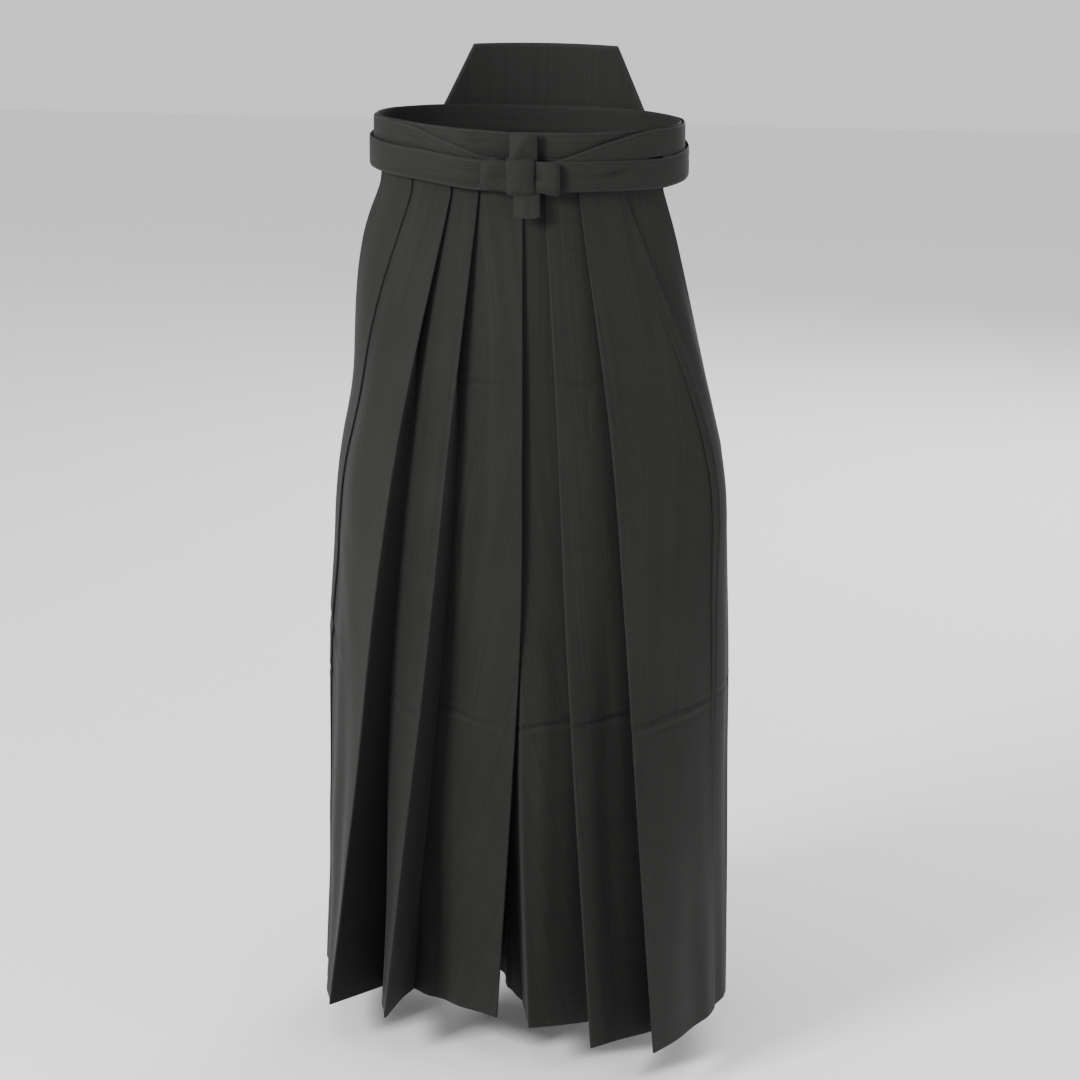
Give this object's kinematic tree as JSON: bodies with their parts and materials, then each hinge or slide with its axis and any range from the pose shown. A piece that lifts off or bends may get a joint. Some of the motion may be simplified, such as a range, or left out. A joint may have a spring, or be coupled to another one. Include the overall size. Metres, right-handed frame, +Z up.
{
  "type": "hakama trousers, worn form with tied belt",
  "caption": "Divided pleated hakama trousers in worn form, with open waist, side slits and legs, a stiff back board and a belt tied in a cross knot.",
  "frame": {"origin": "middle of the waist opening, level with the front top edge, where the wearer's waist holds the garment", "axes": "+Z up, -Y towards the front, +X towards the wearer's left"},
  "size_m": [0.4582, 0.4191, 1],
  "materials": {
    "cloth": "matt charcoal black, fine plain weave",
    "belt": "the same charcoal cloth, folded and sewn flat",
    "board": "the same charcoal cloth over a stiff board"
  },
  "bodies": {
    "root": {"front_right": "cloth", "front_left": "cloth", "back_right": "cloth", "back_left": "cloth", "inner_leg_right": "cloth", "inner_leg_left": "cloth", "back_board": "board", "belt_front_band": "belt", "belt_wrap_right": "belt", "belt_wrap_left": "belt", "belt_back_right": "belt", "belt_back_left": "belt", "knot_wrap": "belt", "knot_bow_right": "belt", "knot_bow_left": "belt", "knot_tail_up": "belt", "knot_tail_down": "belt"}
  },
  "joints": []
}
